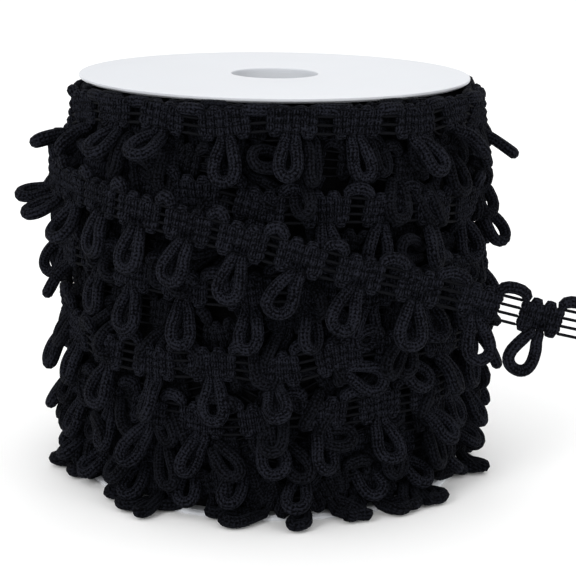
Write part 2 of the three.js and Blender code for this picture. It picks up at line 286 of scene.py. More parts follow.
class Coil:
    """A wound stretch of tape: radius, height and frame at any place, in degrees."""

    def __init__(self, rows):
        self.places = rows["turn"] * 360 + rows["deg"]
        self.rows = rows
        self.first, self.last = self.places[0], self.places[-1]

    def radius(self, t):
        return smooth_column(self.places, self.rows["r"], t)

    def height(self, t):
        return smooth_column(self.places, self.rows["z"], t)

    def point(self, t):
        return around(t, self.radius(t), self.height(t))

    def slack(self, t):
        """How freely the blocks stray at t: not at all where the tape goes on into the loose end."""
        return smooth_step((self.last - 12 - t) / 30)

    def wobble(self, t):
        free = WOBBLE * self.slack(t)
        rise = free * (np.sin(t * 0.131 + 0.7) + 0.7 * np.sin(t * 0.217 + 2.1))
        out = 0.7 * free * (np.sin(t * 0.113 + 4.0) + 0.6 * np.sin(t * 0.251))
        tilt = 0.16 * free / WOBBLE * (np.sin(t * 0.157 + 1.1) + 0.6 * np.sin(t * 0.293 + 5.0))
        return rise, out, tilt

    def route(self, t):
        small = 0.2
        rise, out_by, tilt = [w[..., None] for w in self.wobble(t)]
        before, after = self.wobble(t - small)[0], self.wobble(t + small)[0]
        vertical = np.array([0, 0, 1.0])
        step = self.point(t + small) - self.point(t - small)
        along = unit(step + vertical * (after - before)[..., None])
        up = unit(np.cross(around(t, 1.0, 0 * t), along))
        out = np.cross(along, up)
        origin = self.point(t) + vertical * rise + out * out_by
        c, s = np.cos(tilt), np.sin(tilt)
        return origin, along, out * c + up * s, up * c - out * s


last_turn = Coil(LAST_TURN)
winding = Coil(WINDING)


class Beneath(Coil):
    """The second layer: half way between two outer turns and closer in, and one more turn at each flange."""

    depth = 2.9
    least_radius = 49.8
    # Where no outer turn lies above or below: the radius and height that stand in for one
    radius_above, radius_below = 54.0, 50.5
    height_above, height_below = 98, -1
    height_gain = 2.5  # height_above rises by this much over the 30 degrees before the first place
    fade = 60  # degrees over which one turn's values give way to the next one's

    def __init__(self):
        self.first, self.last = -270.0, winding.last

    def outer(self, name, t, above, below):
        """The outer turns' radius or height at t, with values for where no turn lies above or below."""
        upper = getattr(last_turn, name)(t)
        upper = upper + (above - upper) * smooth_step((-120 - t) / 45)
        value = upper + (getattr(winding, name)(t) - upper) * smooth_step((t - 200) / self.fade)
        return value + (below - value) * smooth_step((t - winding.last + self.fade) / self.fade)

    def both(self, name, t, above, below):
        """The values of the outer turn above t and of the one below it."""
        return self.outer(name, t, above, below), self.outer(name, t + 360, above, below)

    def radius(self, t):
        upper, lower = self.both("radius", t, self.radius_above, self.radius_below)
        return np.maximum(np.minimum(upper, lower) - self.depth, self.least_radius)

    def height(self, t):
        above = self.height_above + self.height_gain * smooth_step((t - self.first + 30) / 30)
        upper, lower = self.both("height", t, above, self.height_below)
        return (upper + lower) / 2

    def wobble(self, t):
        rise, out, tilt = super().wobble(t)
        return rise * 3, out * 1.2, tilt * 1.6


beneath = Beneath()


def curve_through(points, steps):
    """A centripetal Catmull-Rom curve through points, with that many steps between two of them."""
    points = np.asarray(points, float)
    padded = np.vstack([2 * points[0] - points[1], points, 2 * points[-1] - points[-2]])
    gap = np.sqrt(np.linalg.norm(np.diff(padded, axis=0), axis=1))[:, None]
    p0, p1, p2, p3 = padded[:-3], padded[1:-2], padded[2:-1], padded[3:]
    g0, g1, g2 = gap[:-2], gap[1:-1], gap[2:]
    m1 = g1 * ((p1 - p0) / g0 - (p2 - p0) / (g0 + g1) + (p2 - p1) / g1)
    m2 = g1 * ((p2 - p1) / g1 - (p3 - p1) / (g1 + g2) + (p3 - p2) / g2)
    s = (np.arange(steps) / steps)[:, None, None]
    start = (2 * s**3 - 3 * s**2 + 1) * p1 + (s**3 - 2 * s**2 + s) * m1
    end = (3 * s**2 - 2 * s**3) * p2 + (s**3 - s**2) * m2
    line = (start + end).transpose(1, 0, 2).reshape(-1, points.shape[1])
    return np.vstack([line, points[-1]])


def loose_points():
    s, c = np.sin(np.radians(LOOSE["deg"])), np.cos(np.radians(LOOSE["deg"]))
    x = LOOSE["r"] * s + LOOSE["run"] * c
    y = -LOOSE["r"] * c + LOOSE["run"] * s
    return np.stack([x, y, LOOSE["z"]], -1)


LOOSE_LINE = curve_through(loose_points(), 200)
LOOSE_AT = np.concatenate([[0], np.cumsum(np.linalg.norm(np.diff(LOOSE_LINE, axis=0), axis=1))])


def loose_point(d):
    return np.stack([np.interp(d, LOOSE_AT, LOOSE_LINE[:, k]) for k in range(3)], -1)


def loose_route(d):
    small, margin = 0.25, 0.3
    d = np.clip(d, margin, LOOSE_AT[-1] - margin)
    along = unit(loose_point(d + small) - loose_point(d - small))
    out = unit(np.stack([along[..., 1], -along[..., 0], 0 * d], -1))
    return loose_point(d), along, out, np.cross(out, along)


# Blocks: places of the knitted blocks along a route, one array entry each
def blocks_at(middles, halves):
    """Knots of each block: the gap's middle before it, its two ends, and the next block's two ends."""
    starts, ends = middles - halves, middles + halves
    next_start = np.append(starts[1:], ends[-1] + (starts[-1] - ends[-2]))
    next_end = np.append(ends[1:], next_start[-1] + 2 * halves[-1])
    gap = np.append(starts[0] - (next_start[0] - ends[0]), ends[:-1])
    return {
        "index": np.arange(len(middles)),
        "middle": middles,
        "knots": np.stack([(gap + starts) / 2, starts, ends, next_start, next_end], -1),
    }


def coil_blocks(coil, turns):
    """The blocks of a coil, evenly spaced between the anchors of its turns."""
    anchors = 360 * turns + TURNS["anchor"][turns]
    before = np.arange(anchors[0] - STEP_DEG, coil.first + STEP_DEG / 2, -STEP_DEG)[::-1]
    spans = []
    for start, end in zip(anchors[:-1], anchors[1:]):
        spans.append(np.linspace(start, end, round((end - start) / STEP_DEG), endpoint=False))
    after = np.arange(anchors[-1], coil.last - STEP_DEG / 4, STEP_DEG)
    blocks = even_blocks(np.concatenate([before, *spans, after]))
    blocks["index"] = blocks["index"] + WINDING_INDEX * turns[0]
    blocks["turn"] = np.clip(np.round(blocks["middle"] / 360).astype(int), turns[0], turns[-1])
    return blocks


def even_blocks(middles):
    padded = np.concatenate([[middles[0] - STEP_DEG], middles, [middles[-1] + STEP_DEG]])
    return blocks_at(middles, BLOCK_SHARE * (padded[2:] - padded[:-2]) / 4)


def outer_loops(coil, blocks):
    """How the loops of the outer turns hang, one array entry for each block."""
    i, middle, turn = blocks["index"], blocks["middle"], blocks["turn"]
    place = middle - 360 * turn
    loops = {
        "root": TURNS["root"][turn],
        "hang": TURNS["hang"][turn] + TURNS["spread"][turn] * np.abs(jitter(i, 1)),
        "lean": 12 * jitter(i, 2),
        "shift": 0.5 * jitter(i, 3),
        "twist": 48 * jitter(i, 4) ** 3,
        "width": 0.98 + 0.16 * jitter(i, 5),
        "curl": 1.5 * jitter(i, 6),
    }
    for row in range(len(STRETCHES["turn"])):
        first, last = STRETCHES["first"][row], STRETCHES["last"][row]
        inside = (turn == STRETCHES["turn"][row]) & (place > first) & (place < last)
        for name in ("root", "hang"):
            loops[name] = np.where(inside, STRETCHES[name][row], loops[name])
    farther = np.maximum(np.abs(np.sin(np.radians(middle))), np.abs(np.cos(np.radians(middle))))
    loops["stretch"] = np.minimum(1, stretch_to(REACH / farther, coil, middle, loops))
    for stray_turn, deg in STRAYS:
        wanted = stray_turn * 360 + deg
        k = int(np.argmin(np.abs(middle - wanted)))
        if abs(middle[k] - wanted) < STEP_DEG:
            loops["hang"][k] = STRAY_HANG
            loops["lean"][k] = wanted - middle[k]
            loops["stretch"][k] = stretch_to(REACH, coil, middle, loops)[k]
    for lean_turn, deg, lean in zip(*LEANS.values()):
        k = int(np.argmin(np.abs(middle - lean_turn * 360 - deg)))
        if turn[k] == lean_turn:
            loops["lean"][k] = lean
    return loops


def stretch_to(reach, coil, middle, loops):
    """The share of its swing that takes each loop to a reach."""
    out, _, _ = swing(np.full(len(middle), SWING_TO), loops["root"], loops["hang"])
    return (reach - REACH_SPARE - coil.radius(middle)) / out


def lowest_turn(t):
    """From 0 to 1 where the second layer goes into its lowest turn, whose loops swing out over the flange."""
    return smooth_step((t - winding.last + 360) / 40)


def inner_loops(blocks):
    """How the loops of the second layer hang."""
    i = blocks["index"] + INNER_INDEX
    low = lowest_turn(blocks["middle"])
    return {
        "root": 44 + 20 * jitter(i, 1),
        "hang": (2 + 14 * jitter(i, 7)) * (1 - low) + 34 * low,
        "lean": 26 * jitter(i, 2),
        "shift": 0.8 * jitter(i, 3),
        "stretch": np.ones(len(i)),
        "twist": 60 * jitter(i, 4),
        "width": 0.9 + 0.2 * jitter(i, 5),
        "curl": 2.6 * jitter(i, 6),
    }


def loose_blocks():
    first_at = np.degrees(np.arctan2(LOOSE_LINE[:, 0], -LOOSE_LINE[:, 1]))
    first = LOOSE_AT[np.argmax(first_at >= LOOSE_FIRST_DEG)]
    k = np.arange(-LOOSE_BEFORE, LOOSE_AFTER + 1)
    arch = first + np.where(k < 0, LOOSE_SLACK_PITCH * k, LOOSE_PITCH * k + LOOSE_STRETCH * k * k)
    middles = (arch[:-1] + arch[1:]) / 2
    halves = np.full(len(middles), LOOSE_BLOCK_HALF)
    halves += LOOSE_RELAXED * smooth_step((5 - k[:-1]) / 2)
    halves[-1] += LOOSE_END_GROWS
    blocks = blocks_at(middles, halves)
    blocks["index"] = k[:-1]
    return blocks


def loose_loops(blocks):
    k = blocks["index"]
    loops = {
        "root": np.where(k < -3, 56.0, 14.0),
        "hang": np.where(k < -2, 34 - 17 * (k + 2), 6) + 6 * jitter(k, 1),
        "lean": 8 * jitter(k, 2),
        "shift": 0.5 * jitter(k, 3),
        "stretch": np.ones(len(k)),
        "twist": 14 * jitter(k, 4),
        "width": 1.1 + 0.08 * jitter(k, 5),
        "curl": 1.2 * jitter(k, 6),
    }
    for block, lean, width in LOOSE_LEANS:
        row = k == block
        loops["lean"][row], loops["width"][row] = lean, width
        loops["twist"][row], loops["curl"][row] = 0, 0
    return loops


# The flat pattern of one repeat: a block's six passes, its button loop and the arch to the next block
def half_turn(centre_a, centre_v, rise, side, steps):
    """Points over a half turn between two passes, without its ends. side is 1 for a turn at the top."""
    angle = np.pi * np.arange(1, steps) / steps
    return np.stack([centre_a - PASS / 2 * np.cos(angle), centre_v + side * rise * np.sin(angle)], -1)


def stitched(v, in_block):
    """How much a stitch line draws the cord in at v, as a share, and how far the cord stands out there."""
    wave = 0.5 + 0.5 * np.cos(2 * np.pi * (v + LINE_HALF) / TIER)
    return np.where(in_block, GROOVE * wave**GROOVE_POWER, 0), np.where(in_block, BULGE * (1 - wave), 0)


def cord_pattern(per_tier, turn_steps, loop_steps, arch_steps):
    """Places (a, v) of the cord's rings, their thickness, and which belong to the button loop."""
    down = LINE_HALF - TIER * np.arange((STITCH_LINES - 1) * per_tier + 1) / per_tier
    spots, parts = [], []

    def put(points, part):
        spots.append(points)
        parts.append(np.full(len(points), part))

    for k in range(PASSES):
        a = (k - (PASSES - 1) / 2) * PASS
        v = down if k % 2 == 0 else down[::-1]
        put(np.stack([np.full(len(v), a), v], -1), 0)
        if k == PASSES // 2 - 1:
            side = curve_through(np.stack([LOOP["half"], LOOP["down"]], -1), loop_steps)[1:]
            left = np.stack([-side[:, 0], -LINE_HALF - side[:, 1]], -1)
            right = np.stack([side[-2::-1, 0], -LINE_HALF - side[-2::-1, 1]], -1)
            put(left, 1)
            put(right, 1)
        elif k < PASSES - 1:
            at_top = k % 2 == 1
            line = LINE_HALF if at_top else -LINE_HALF
            put(half_turn(a + PASS / 2, line, TURN_RISE, 1 if at_top else -1, turn_steps), 0)
    angle = np.pi * np.arange(1, arch_steps) / arch_steps
    width = PITCH / 2 - (PASSES - 1) * PASS / 2
    arch_a = PITCH / 2 - width * np.cos(angle)
    put(np.stack([arch_a, LINE_HALF + ARCH_RISE * np.sin(angle)], -1), 2)

    spots, part = np.concatenate(spots), np.concatenate(parts)
    a, v = spots[:, 0], spots[:, 1]
    in_block = (np.abs(v) <= LINE_HALF + 0.01) & (part == 0) & (a < BLOCK_HALF)
    drawn, out = stitched(v, in_block)
    below = np.where(part == 1, -LINE_HALF - v, 0)
    above = np.where(part == 2, (v - LINE_HALF) / ARCH_RISE, 0)
    swell = (LOOP_CORD - CORD) * smooth_step(below / SWELL_OVER) + (ARCH_CORD - CORD) * smooth_step(above)
    thick = (CORD + swell) * (1 - drawn)
    out = out + np.where(a > BLOCK_HALF, ARCH_OUT, 0)
    return {"a": a, "v": v, "w": out, "radius": thick / 2, "loop": part == 1}


def swing(distance, root, hang):
    """How far a loop has swung out and dropped at a distance past its bend, and its angle there."""
    steps = 12
    out = np.zeros(np.broadcast(distance, root).shape)
    drop = np.zeros_like(out)
    past = np.maximum(distance, 0)
    for i in range(steps):
        s = (i + 0.5) / steps * past
        angle = np.radians(hang + (root - hang) * np.exp(-s / FADE)) * smooth_step(s / BEND_OVER)
        out += np.sin(angle) * past / steps
        drop += np.cos(angle) * past / steps
    angle = np.radians(hang + (root - hang) * np.exp(-past / FADE)) * smooth_step(past / BEND_OVER)
    return out, np.where(distance > 0, drop, distance), angle


def lay(route, blocks, loops, pattern):
    """Points and outward directions of a pattern laid along a route: arrays of blocks x rings x 3."""
    nominal = np.array([-PITCH / 2, -BLOCK_HALF, BLOCK_HALF, PITCH - BLOCK_HALF, PITCH + BLOCK_HALF])
    places = np.stack([np.interp(pattern["a"], nominal, knots) for knots in blocks["knots"]])
    origin, along, out, up = route(places)
    v, w = pattern["v"][None, :, None], pattern["w"][None, :, None]
    points = origin + up * v + out * w
    normals = np.broadcast_to(out, points.shape).copy()
    chosen = pattern["loop"]
    if chosen.any():
        frames = route(blocks["middle"])
        points[:, chosen], normals[:, chosen] = lay_loops(frames, loops, pattern, chosen)
    settle(points, pattern["radius"])
    return points, normals


def settle(points, radius):
    """Keeps points between the two faces of the spool, pressed down gently near the top."""
    limit = HIGHEST - radius
    over = np.maximum(points[..., 2] - limit + EASE, 0)
    eased = limit - EASE * np.exp(-over / EASE)
    points[..., 2] = np.maximum(np.where(over > 0, eased, points[..., 2]), LOWEST + radius)


def lay_loops(frames, loops, pattern, chosen):
    origin, along, out, up = [f[:, None, :] for f in frames]
    value = {name: column[:, None] for name, column in loops.items()}
    below = -LINE_HALF - pattern["v"][chosen][None, :]
    settled = smooth_step(below / SETTLED_OVER)
    a = pattern["a"][chosen][None, :] * (1 + (value["width"] - 1) * settled)
    share = np.clip(below / LOOP["down"][-1], 0, 1)
    twist = np.radians(value["twist"]) * settled
    w = a * np.sin(twist)
    a = a * np.cos(twist)
    lean = np.radians(value["lean"]) * smooth_step(below / LEAN_OVER)
    side = a * np.cos(lean) + below * np.sin(lean) + (value["shift"] + value["curl"] * share) * settled
    down = below * np.cos(lean) - a * np.sin(lean)
    out_by, drop, angle = swing(down - BEND_FROM, value["root"], value["hang"])
    out_by = out_by * value["stretch"] + w * np.cos(angle)
    rise = -LINE_HALF - BEND_FROM - drop + w * np.sin(angle)
    points = origin + along * side[..., None] + out * out_by[..., None] + up * rise[..., None]
    normals = out * np.cos(angle)[..., None] + up * np.sin(angle)[..., None]
    return points, normals


def thread_pattern(line):
    """One stitch thread across a repeat: it rides over each pass and bridges the gap straight."""
    v = LINE_HALF - line * TIER
    a, w = [-PITCH / 2, -BLOCK_HALF - 0.1], [0.1, CREST * 0.3]
    for k in range(PASSES):
        middle = (k - (PASSES - 1) / 2) * PASS
        for share, height in ((-0.5, 0.7), (-0.24, 0.95), (0, 1), (0.24, 0.95)):
            a.append(middle + share * PASS)
            w.append(CREST * height)
    a += [BLOCK_HALF - 0.5, BLOCK_HALF + 0.1]
    w += [CREST * 0.6, CREST * 0.3]
    a, count = np.array(a), len(a)
    in_block = (np.abs(a) < BLOCK_HALF) & (np.arange(count) > 0)
    return {
        "a": a,
        "v": np.full(count, v),
        "w": np.array(w),
        "radius": np.where(in_block, BURIED, 1) * THREAD / 2,
        "loop": np.zeros(count, bool),
    }


class Tubes:
    """Round tubes gathered into one mesh, with a UV map of length and share of the way around."""

    def __init__(self):
        self.points, self.corners, self.starts, self.uvs, self.slots = [], [], [], [], []
        self.point_count = 0
        self.corner_count = 0

    def add(self, points, normals, radii, sides, slot=0):
        count = len(points)
        length = np.concatenate([[0], np.cumsum(np.linalg.norm(np.diff(points, axis=0), axis=1))])
        tangent = unit(np.gradient(points, axis=0))
        across = unit(np.cross(tangent, normals))
        normal = np.cross(across, tangent)
        turn = 2 * np.pi * np.arange(sides) / sides
        ring = np.cos(turn)[None, :, None] * normal[:, None] + np.sin(turn)[None, :, None] * across[:, None]
        self.points.append((points[:, None] + np.asarray(radii)[:, None, None] * ring).reshape(-1, 3))

        i, j = np.meshgrid(np.arange(count - 1), np.arange(sides), indexing="ij")
        corner = np.stack([i * sides + j, i * sides + (j + 1) % sides], -1)
        quads = np.concatenate([corner, (corner + sides)[..., ::-1]], -1).reshape(-1, 4)
        caps = np.concatenate([np.arange(sides)[::-1], (count - 1) * sides + np.arange(sides)])
        share = np.stack([j, j + 1, j + 1, j], -1) / sides
        run = np.stack([length[i], length[i], length[i + 1], length[i + 1]], -1)
        cap_uv = np.stack([np.repeat(length[[0, -1]], sides), np.tile(np.arange(sides) / sides, 2)], -1)

        self.corners += [quads.ravel() + self.point_count, caps + self.point_count]
        self.uvs += [np.stack([run, share], -1).reshape(-1, 2), cap_uv]
        quad_starts = self.corner_count + 4 * np.arange(len(quads))
        cap_start = self.corner_count + 4 * len(quads)
        self.starts += [quad_starts, np.array([cap_start, cap_start + sides])]
        self.slots.append(np.full(len(quads) + 2, slot))
        self.point_count += count * sides
        self.corner_count = cap_start + 2 * sides

    def piece(self, name, materials):
        mesh = bpy.data.meshes.new(name)
        points = np.concatenate(self.points) * MM
        corners = np.concatenate(self.corners)
        starts = np.concatenate(self.starts)
        mesh.vertices.add(len(points))
        mesh.vertices.foreach_set("co", points.astype(np.float32).ravel())
        mesh.loops.add(len(corners))
        mesh.loops.foreach_set("vertex_index", corners.astype(np.int32))
        mesh.polygons.add(len(starts))
        mesh.polygons.foreach_set("loop_start", starts.astype(np.int32))
        mesh.polygons.foreach_set("material_index", np.concatenate(self.slots).astype(np.int32))
        mesh.polygons.foreach_set("use_smooth", np.ones(len(starts), bool))
        layer = mesh.uv_layers.new(name="Cord")
        layer.data.foreach_set("uv", np.concatenate(self.uvs).astype(np.float32).ravel())
        mesh.update(calc_edges=True)
        for material in materials:
            mesh.materials.append(material)
        return place(bpy.data.objects.new(name, mesh), "yarn")


def place(obj, slot):
    bpy.context.scene.collection.objects.link(obj)
    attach(obj, "root")
    return obj


def part_of(blocks, chosen):
    return {name: values[chosen] for name, values in blocks.items()}


def add_threads(tubes, route, blocks, sides):
    for line in range(STITCH_LINES):
        pattern = thread_pattern(line)
        points, normals = lay(route, blocks, None, pattern)
        radii = np.tile(pattern["radius"], len(points))
        tubes.add(points.reshape(-1, 3), normals.reshape(-1, 3), radii, sides, slot=1)


def add_cord(tubes, route, blocks, loops, pattern, sides):
    """The whole cord of these blocks as one tube, button loops and arches included."""
    points, normals = lay(route, blocks, loops, pattern)
    radii = np.tile(pattern["radius"], len(points))
    tubes.add(points.reshape(-1, 3), normals.reshape(-1, 3), radii, sides)


def add_packed_loops(tubes, pattern, every, sides):
    """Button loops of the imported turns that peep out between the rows, turned every way."""
    t = np.arange(beneath.first, beneath.last, every)
    i = np.arange(len(t)) + PACKED_INDEX
    t = t + 0.4 * every * jitter(i, 1)
    origin, along, out, up = beneath.route(t)
    low = lowest_turn(t)
    turned = np.radians(80 * jitter(i, 2) * (1 - 0.6 * low))[:, None]
    outward = 0.7 + 0.9 * jitter(i, 3) - 1.2 * low
    origin = origin + out * outward[:, None] + up * (3.2 * jitter(i, 4))[:, None]
    c, s = np.cos(turned), np.sin(turned)
    frames = (origin, along * c + up * s, out, up * c - along * s)
    loops = {
        "root": 32 + 20 * jitter(i, 5),
        "hang": (2 + 9 * jitter(i, 6)) * (1 - low) + 30 * low,
        "lean": 10 * jitter(i, 7),
        "shift": 0 * t,
        "stretch": 1 + 0 * t,
        "twist": 50 * jitter(i, 8),
        "width": 0.95 + 0.2 * jitter(i, 9),
        "curl": 2.2 * jitter(i, 10),
    }
    chosen = pattern["loop"]
    points, normals = lay_loops(frames, loops, pattern, chosen)
    radii = pattern["radius"][chosen]
    settle(points, radii)
    for k in range(len(t)):
        tubes.add(points[k], normals[k], radii, sides)


# Node materials
def node_maker(material):
    tree = material.node_tree

    def make(kind, inputs=None, **settings):
        node = tree.nodes.new(kind)
        for name, value in settings.items():
            setattr(node, name, value)
        for socket, value in (inputs or {}).items():
            target = node.inputs[socket]
            if isinstance(value, bpy.types.NodeSocket):
                tree.links.new(value, target)
            else:
                target.default_value = value
        return node

    return make


def new_material(name):
    material = bpy.data.materials.new(name)
    material.use_nodes = True
    shader = material.node_tree.nodes["Principled BSDF"]
    return material, shader, node_maker(material)


def link(material, source, shader, socket):
    material.node_tree.links.new(source, shader.inputs[socket])


WALES = 9  # lengthwise columns of stitches around the cord
STITCH = 0.86  # length of one stitch of the cord's own knitting, in millimetres


def cord_material(name, dark, light):
    """Black yarn knitted into a cord: columns of V stitches with a hole between each four. The furrows and
    holes are darkened in the base colour as painted shade, and the same relief drives the bump.
    """
    material, shader, make = new_material(name)

    def maths(operation, a, b=0.0, c=0.0):
        return make("ShaderNodeMath", {0: a, 1: b, 2: c}, operation=operation).outputs[0]

    def crest(phase):
        """A wave from 0 to 1 that is 1 wherever the phase is whole."""
        return maths("MULTIPLY_ADD", maths("COSINE", maths("MULTIPLY", phase, 2 * math.pi)), 0.5, 0.5)

    where = make("ShaderNodeTexCoord").outputs["Object"]
    drift = make("ShaderNodeTexNoise", {"Vector": where, "Scale": 420.0, "Detail": 1.0}).outputs["Fac"]
    uv = make("ShaderNodeUVMap", uv_map="Cord").outputs["UV"]
    parts = make("ShaderNodeSeparateXYZ", {"Vector": uv})
    wale = maths("MULTIPLY_ADD", drift, 0.9, maths("MULTIPLY", parts.outputs["Y"], float(WALES)))
    off = maths("PINGPONG", wale, 0.5)
    slant = maths("MULTIPLY_ADD", off, 0.9, maths("DIVIDE", parts.outputs["X"], STITCH))
    row = maths("MULTIPLY_ADD", drift, 1.1, slant)
    between_wales = crest(wale)
    between_rows = crest(row)
    # Painted shade: hole and furrow darken the base colour through the ramp where the stitches' hollows would
    # be shaded; the same relief also drives the bump
    hole = maths("POWER", maths("MULTIPLY", between_wales, between_rows), 1.3)
    furrow = maths("MAXIMUM", maths("MULTIPLY", between_wales, 0.5), maths("MULTIPLY", between_rows, 0.42))
    relief = maths("SUBTRACT", maths("SUBTRACT", 1.0, furrow), maths("MULTIPLY", hole, 0.6))

    fibre = make("ShaderNodeTexNoise", {"Vector": where, "Scale": 2300.0, "Detail": 3.0}).outputs["Fac"]
    patches = make("ShaderNodeTexNoise", {"Vector": where, "Scale": 210.0, "Detail": 2.0}).outputs["Fac"]
    height = maths("MULTIPLY_ADD", fibre, 0.6, relief)
    bump = make("ShaderNodeBump", {"Height": height, "Strength": 1.0, "Distance": 0.0003})
    grain = maths("MULTIPLY_ADD", maths("SUBTRACT", fibre, 0.5), 2.7, relief)
    tone_with_painted_shade = maths("MULTIPLY_ADD", maths("SUBTRACT", patches, 0.5), 0.9, grain)
    ramp = make("ShaderNodeValToRGB", {"Fac": tone_with_painted_shade})
    ramp.color_ramp.elements[0].position = 0.26
    ramp.color_ramp.elements[0].color = (*dark, 1)
    ramp.color_ramp.elements[1].position = 1.0
    ramp.color_ramp.elements[1].color = (*light, 1)
    link(material, ramp.outputs["Color"], shader, "Base Color")
    link(material, bump.outputs["Normal"], shader, "Normal")
    shader.inputs["Roughness"].default_value = 0.9
    shader.inputs["Sheen Weight"].default_value = 0.012
    shader.inputs["Sheen Roughness"].default_value = 0.5
    shader.inputs["Sheen Tint"].default_value = (0.6, 0.66, 0.85, 1)
    shader.inputs["Specular IOR Level"].default_value = 0.03
    return material


def thread_material():
    """The finer elastic stitch thread, a little smoother than the cord, and coloured darker than the cord as
    painted shade for the gaps it bridges between blocks.
    """
    material, shader, make = new_material("elastic_thread")
    where = make("ShaderNodeTexCoord").outputs["Object"]
    noise = make("ShaderNodeTexNoise", {"Vector": where, "Scale": 2600.0, "Detail": 2.0}).outputs["Fac"]
    ramp = make("ShaderNodeValToRGB", {"Fac": noise})
    # Painted shade: these colours are kept darker than the cord's so the threads read shaded where they
    # bridge the gaps between blocks
    ramp.color_ramp.elements[0].color = (0.0008, 0.0009, 0.0012, 1)
    ramp.color_ramp.elements[1].color = (0.0042, 0.0046, 0.0064, 1)
    bump = make("ShaderNodeBump", {"Height": noise, "Strength": 0.6, "Distance": 0.00012})
    link(material, ramp.outputs["Color"], shader, "Base Color")
    link(material, bump.outputs["Normal"], shader, "Normal")
    shader.inputs["Roughness"].default_value = 0.7
    shader.inputs["Specular IOR Level"].default_value = 0.05
    return material


def core_material():
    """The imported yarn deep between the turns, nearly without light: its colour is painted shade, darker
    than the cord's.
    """
    material, shader, make = new_material("packed_yarn_shaded")
    where = make("ShaderNodeTexCoord").outputs["Object"]
    knots = make("ShaderNodeTexVoronoi", {"Vector": where, "Scale": 420.0}).outputs["Distance"]
    fibre = make("ShaderNodeTexNoise", {"Vector": where, "Scale": 2500.0, "Detail": 3.0}).outputs["Fac"]
    height = make("ShaderNodeMath", {0: knots, 1: fibre}, operation="ADD").outputs[0]
    ramp = make("ShaderNodeValToRGB", {"Fac": knots})
    # Painted shade: both ends sit far below the cord's colours, standing in for the shade deep in the winding
    ramp.color_ramp.elements[0].color = (0.0022, 0.0022, 0.0028, 1)
    ramp.color_ramp.elements[1].color = (0.001, 0.001, 0.0013, 1)
    bump = make("ShaderNodeBump", {"Height": height, "Strength": 0.8, "Distance": 0.0006})
    link(material, ramp.outputs["Color"], shader, "Base Color")
    link(material, bump.outputs["Normal"], shader, "Normal")
    shader.inputs["Roughness"].default_value = 0.95
    shader.inputs["Specular IOR Level"].default_value = 0.05
    return material


def plastic_material(name, dull, bright):
    """White moulded plastic with faint mould grain and light rub marks."""
    material, shader, make = new_material(name)
    where = make("ShaderNodeTexCoord").outputs["Object"]
    grain = make("ShaderNodeTexNoise", {"Vector": where, "Scale": 900.0, "Detail": 3.0}).outputs["Fac"]
    cloud = make("ShaderNodeTexNoise", {"Vector": where, "Scale": 38.0, "Detail": 4.0}).outputs["Fac"]
    ramp = make("ShaderNodeValToRGB", {"Fac": cloud})
    ramp.color_ramp.elements[0].position = 0.3
    ramp.color_ramp.elements[0].color = (*dull, 1)
    ramp.color_ramp.elements[1].position = 0.7
    ramp.color_ramp.elements[1].color = (*bright, 1)
    rough = make("ShaderNodeMapRange", {"Value": cloud, "To Min": 0.36, "To Max": 0.5}).outputs["Result"]
    bump = make("ShaderNodeBump", {"Height": grain, "Strength": 0.25, "Distance": 0.00006})
    link(material, ramp.outputs["Color"], shader, "Base Color")
    link(material, rough, shader, "Roughness")
    link(material, bump.outputs["Normal"], shader, "Normal")
    shader.inputs["Specular IOR Level"].default_value = 0.12
    return material


def floor_material():
    material, shader, _ = new_material("pale_floor")
    shader.inputs["Base Color"].default_value = (0.97, 0.97, 0.97, 1)
    shader.inputs["Roughness"].default_value = 0.9
    return material


# Closed rings about the axis
def ring(name, points, material, slot):
    """A closed ring: points is an array of slices around the axis x corners of each slice x 3."""
    slices, count, _ = points.shape
    faces = []
    for i in range(slices):
        k = (i + 1) % slices
        for j in range(count):
            n = (j + 1) % count
            faces.append((i * count + j, k * count + j, k * count + n, i * count + n))
    mesh = bpy.data.meshes.new(name)
    mesh.from_pydata((points.reshape(-1, 3) * MM).tolist(), [], faces)
    mesh.polygons.foreach_set("use_smooth", np.ones(len(faces), bool))
    mesh.materials.append(material)
    return place(bpy.data.objects.new(name, mesh), slot)


SEGMENTS = 192


def lathe(name, profile, material, slot):
    """A closed ring of a profile of (radius, height) points turned about the axis."""
    angle = 2 * np.pi * np.arange(SEGMENTS) / SEGMENTS
    radius, height = np.array(profile).T
    x = radius[None, :] * np.sin(angle)[:, None]
    y = -radius[None, :] * np.cos(angle)[:, None]
    z = np.broadcast_to(height, x.shape)
    return ring(name, np.stack([x, y, z], -1), material, slot)


def rounded(corners, steps=5):
    """A profile with its corners rounded: each is (radius, height, size of the round)."""
    points = []
    for i, (r, z, size) in enumerate(corners):
        here = np.array([r, z])
        to_last = unit(np.array(corners[i - 1][:2]) - here)
        to_next = unit(np.array(corners[(i + 1) % len(corners)][:2]) - here)
        for k in range(steps + 1):
            s = k / steps
            points.append(here + size * ((1 - s) ** 2 * to_last + s**2 * to_next))
    return points


# The spool
def flange(name, outer, inward, material):
    """A flange from its outer face inward (1 is up), whose rim is thinned on the side of the winding."""
    inner = outer + inward * FLANGE
    outline = [
        (BORE, outer, LIP),
        (SPOOL_RADIUS, outer, RIM_ROUND),
        (SPOOL_RADIUS, outer + inward * RIM, RIM_ROUND),
        (SPOOL_RADIUS - RIM_SLOPE, inner, RIM_ROUND),
        (BORE, inner, SEAM),
    ][::inward]
    piece = lathe(f"{name}_shell", rounded(outline), material, "spool_plastic")
    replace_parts(piece, name)


